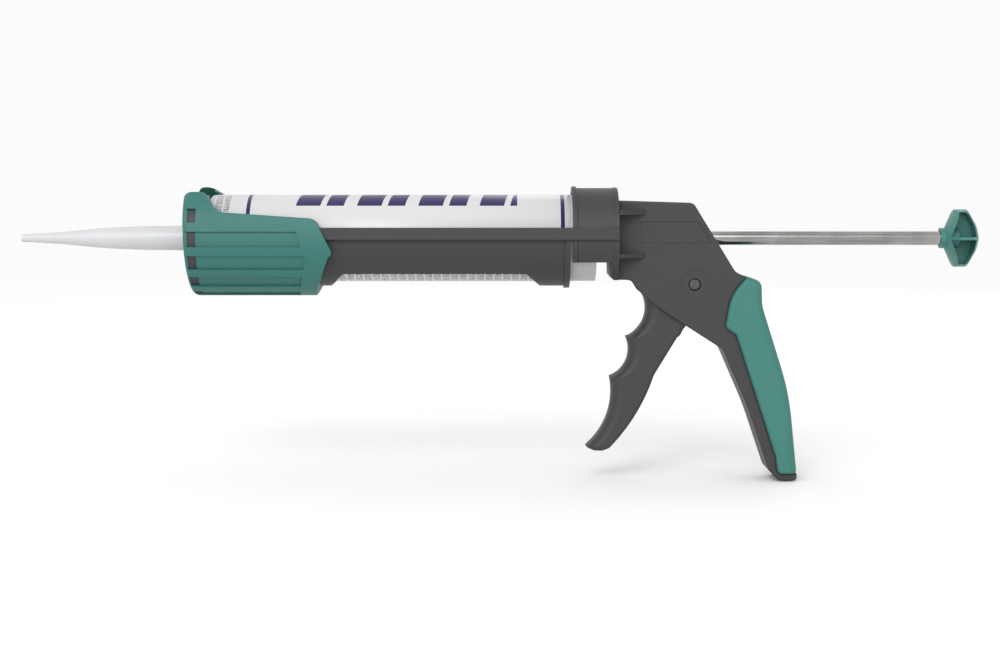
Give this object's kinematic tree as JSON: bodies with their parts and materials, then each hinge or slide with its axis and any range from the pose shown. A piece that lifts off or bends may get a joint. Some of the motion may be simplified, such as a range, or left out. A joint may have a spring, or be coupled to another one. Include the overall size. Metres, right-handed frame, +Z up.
{
  "type": "caulking gun",
  "caption": "Half-open caulking gun with a cartridge in its cradle: squeezing the trigger makes a plate grip the round rod and push the plunger forward.",
  "frame": {"origin": "on the push rod's axis, at the front face of the collar's rear wall, where the cartridge bay starts", "axes": "+X along the rod to the pull knob (the nozzle points to -X), +Z up, -Y the near side with the pivot pin's head"},
  "size_m": [0.5459, 0.0654, 0.1674],
  "materials": {
    "grey_plastic": "fine-textured glass-filled plastic",
    "green_grip": "soft satin thermoplastic rubber",
    "green_knob": "satin moulded plastic",
    "black_rubber": "dull",
    "white_acetal": "turned",
    "zinc_steel": "zinc plated",
    "pin_steel": "blackened",
    "spring_steel": "drawn wire",
    "rod_steel": "drawn",
    "white_cartridge": "smooth, printed",
    "sealant_paste": "paste",
    "clear_nozzle": "milky translucent"
  },
  "bodies": {
    "frame": {"cradle": "grey_plastic", "front_grip": "green_grip", "collar": "grey_plastic", "friction_ring": "black_rubber", "front_bush": "white_acetal", "housing_near": "grey_plastic", "housing_far": "grey_plastic", "housing_screws": "zinc_steel", "handle_pad_near": "green_grip", "handle_pad_far": "green_grip", "pivot_pin": "pin_steel", "pin_clip": "spring_steel", "rear_bush": "white_acetal", "drive_spring": "spring_steel", "cartridge_tube": "white_cartridge", "sealant": "sealant_paste", "nozzle": "clear_nozzle"},
    "trigger": {"trigger": "grey_plastic"},
    "drive": {"drive_plates": "zinc_steel"},
    "piston": {"cartridge_piston": "white_cartridge"},
    "plunger": {"plunger_disc": "zinc_steel"},
    "rod": {"push_rod": "rod_steel", "pull_knob": "green_knob", "plunger_washer": "zinc_steel", "plunger_nut": "zinc_steel"}
  },
  "joints": [
    {"name": "trigger_squeeze", "type": "hinge", "parent": "frame", "child": "trigger", "pos_m": [0.0484, 0, -0.026], "axis": [0, -1, 0], "range_deg": [0, 26], "stiffness_Nm_per_rad": 0.6, "springref_deg": -17.19},
    {"name": "drive_slide", "type": "slide", "parent": "frame", "child": "drive", "axis": [-1, 0, 0], "range_m": [0, 0.0122], "deforming": ["drive_spring"]},
    {"name": "dispense", "type": "slide", "parent": "frame", "child": "piston", "axis": [-1, 0, 0], "range_m": [0, 0.11], "deforming": ["sealant"]},
    {"name": "rod_retract", "type": "slide", "parent": "piston", "child": "plunger", "axis": [1, 0, 0], "range_m": [0, 0.085]},
    {"name": "rod_spin", "type": "hinge", "parent": "plunger", "child": "rod", "pos_m": [-0.092, 0, 0], "axis": [1, 0, 0], "continuous": true}
  ],
  "couplings": [
    {"joint": "drive_slide", "follows": "trigger_squeeze", "m_per_rad": 0.026}
  ]
}
